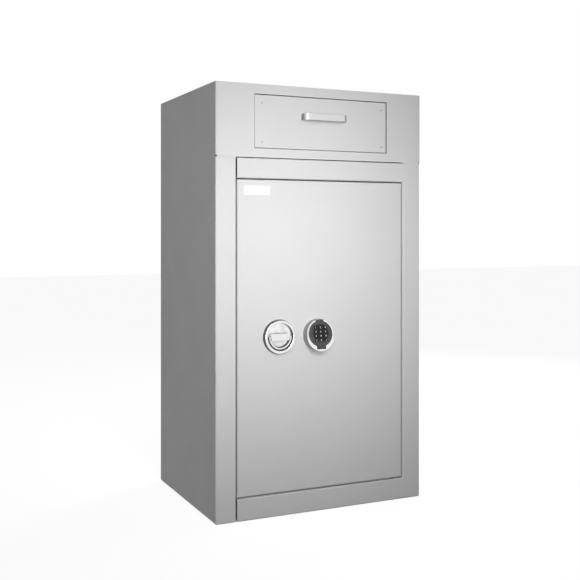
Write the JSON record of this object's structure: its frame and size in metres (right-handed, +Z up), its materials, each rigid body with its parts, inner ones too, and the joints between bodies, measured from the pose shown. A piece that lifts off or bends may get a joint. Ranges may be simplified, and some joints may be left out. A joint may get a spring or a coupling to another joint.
{
  "type": "drop safe",
  "caption": "Free-standing drop safe with a deposit drawer on top, a flush hinged door with a fold-out bail handle, an electronic keypad lock and working boltwork.",
  "frame": {"origin": "centre of the base, on the floor", "axes": "+X to the right as seen from the front, +Y from the front to the back, +Z up"},
  "size_m": [0.65, 0.5357, 1.2],
  "materials": {
    "paint": "satin",
    "paint_inner": "satin",
    "board": "matte",
    "zinc": "satin",
    "steel": "satin",
    "satin": "satin",
    "chrome": "polished",
    "brass": "satin",
    "black": "matte",
    "key": "matte",
    "plate": "gloss"
  },
  "bodies": {
    "safe": {"left_wall": "paint", "right_wall": "paint", "front_frame": "paint", "top_front_panel": "paint", "roof_panel": "paint", "back_wall": "paint", "base_plate": "paint", "liner_left": "paint_inner", "liner_right": "paint_inner", "liner_back": "paint_inner", "liner_floor": "paint_inner", "wall_infill": "board", "deposit_deck": "paint_inner", "cheek_left": "zinc", "cheek_right": "zinc", "fishing_guard": "zinc", "slide_rails_fixed": "zinc", "strike_bars": "steel", "hinge_pin_top": "steel", "hinge_pin_bottom": "steel"},
    "drawer": {"drawer_front": "paint", "drawer_handle": "satin", "drawer_side_left": "zinc", "drawer_side_right": "zinc", "drawer_rear": "zinc", "drawer_screws": "satin", "slide_rails_inner": "zinc", "tipping_pin": "steel"},
    "slide_middle": {"slide_rails_middle": "zinc"},
    "tipping_floor": {"tipping_floor": "zinc", "guide_studs": "steel"},
    "door": {"door_skin": "paint", "door_cover": "paint_inner", "door_bushes": "brass", "blank_plate": "plate", "handle_rosette": "chrome", "dead_bolts": "steel", "bolt_guides": "zinc", "lock_case": "zinc", "keypad_housing": "chrome", "keypad_face": "black", "battery_cover": "black"},
    "handle": {"handle_rotor": "chrome", "cam_disc": "steel"},
    "bail": {"handle_bail": "chrome"},
    "boltwork": {"bolt_bar": "zinc", "locking_bolts": "steel"},
    "swing_bolt": {"swing_bolt": "steel"},
    "key_1": {"key_1": "key"},
    "key_2": {"key_2": "key"},
    "key_3": {"key_3": "key"},
    "key_4": {"key_4": "key"},
    "key_5": {"key_5": "key"},
    "key_6": {"key_6": "key"},
    "key_7": {"key_7": "key"},
    "key_8": {"key_8": "key"},
    "key_9": {"key_9": "key"},
    "key_clear": {"key_clear": "key"},
    "key_0": {"key_0": "key"},
    "key_enter": {"key_enter": "key"}
  },
  "joints": [
    {"name": "door_swing", "type": "hinge", "parent": "safe", "child": "door", "pos_m": [0.232, -0.239, 0.5], "axis": [0, 0, 1], "range_deg": [0, 110]},
    {"name": "drawer_slide", "type": "slide", "parent": "safe", "child": "drawer", "axis": [0, -1, 0], "range_m": [0, 0.2]},
    {"name": "slide_middle_run", "type": "slide", "parent": "safe", "child": "slide_middle", "axis": [0, -1, 0], "range_m": [0, 0.1]},
    {"name": "floor_tip", "type": "hinge", "parent": "drawer", "child": "tipping_floor", "pos_m": [0, -0.232, 1.055], "axis": [1, 0, 0], "range_deg": [0, 30]},
    {"name": "handle_turn", "type": "hinge", "parent": "door", "child": "handle", "pos_m": [-0.138, -0.25, 0.5], "axis": [0, -1, 0], "range_deg": [0, 90]},
    {"name": "bolt_throw", "type": "slide", "parent": "door", "child": "boltwork", "axis": [-1, 0, 0], "range_m": [0, 0.022]},
    {"name": "swing_bolt_turn", "type": "hinge", "parent": "door", "child": "swing_bolt", "pos_m": [-0.042, -0.232, 0.5], "axis": [0, 1, 0], "range_deg": [0, 90]},
    {"name": "bail_fold", "type": "hinge", "parent": "handle", "child": "bail", "pos_m": [-0.138, -0.26, 0.5], "axis": [-1, 0, 0], "range_deg": [0, 90]},
    {"name": "key_1_press", "type": "slide", "parent": "door", "child": "key_1", "axis": [0, 0.9848, -0.1736], "range_m": [0, 0.001], "stiffness_N_per_m": 800},
    {"name": "key_2_press", "type": "slide", "parent": "door", "child": "key_2", "axis": [0, 0.9848, -0.1736], "range_m": [0, 0.001], "stiffness_N_per_m": 800},
    {"name": "key_3_press", "type": "slide", "parent": "door", "child": "key_3", "axis": [0, 0.9848, -0.1736], "range_m": [0, 0.001], "stiffness_N_per_m": 800},
    {"name": "key_4_press", "type": "slide", "parent": "door", "child": "key_4", "axis": [0, 0.9848, -0.1736], "range_m": [0, 0.001], "stiffness_N_per_m": 800},
    {"name": "key_5_press", "type": "slide", "parent": "door", "child": "key_5", "axis": [0, 0.9848, -0.1736], "range_m": [0, 0.001], "stiffness_N_per_m": 800},
    {"name": "key_6_press", "type": "slide", "parent": "door", "child": "key_6", "axis": [0, 0.9848, -0.1736], "range_m": [0, 0.001], "stiffness_N_per_m": 800},
    {"name": "key_7_press", "type": "slide", "parent": "door", "child": "key_7", "axis": [0, 0.9848, -0.1736], "range_m": [0, 0.001], "stiffness_N_per_m": 800},
    {"name": "key_8_press", "type": "slide", "parent": "door", "child": "key_8", "axis": [0, 0.9848, -0.1736], "range_m": [0, 0.001], "stiffness_N_per_m": 800},
    {"name": "key_9_press", "type": "slide", "parent": "door", "child": "key_9", "axis": [0, 0.9848, -0.1736], "range_m": [0, 0.001], "stiffness_N_per_m": 800},
    {"name": "key_clear_press", "type": "slide", "parent": "door", "child": "key_clear", "axis": [0, 0.9848, -0.1736], "range_m": [0, 0.001], "stiffness_N_per_m": 800},
    {"name": "key_0_press", "type": "slide", "parent": "door", "child": "key_0", "axis": [0, 0.9848, -0.1736], "range_m": [0, 0.001], "stiffness_N_per_m": 800},
    {"name": "key_enter_press", "type": "slide", "parent": "door", "child": "key_enter", "axis": [0, 0.9848, -0.1736], "range_m": [0, 0.001], "stiffness_N_per_m": 800}
  ],
  "couplings": [
    {"joint": "slide_middle_run", "follows": "drawer_slide", "ratio": 0.5},
    {"joint": "floor_tip", "follows": "drawer_slide", "rad_per_m": 2.618},
    {"joint": "bolt_throw", "follows": "handle_turn", "m_per_rad": 0.014006},
    {"joint": "swing_bolt_turn", "follows": "handle_turn", "ratio": 1}
  ]
}
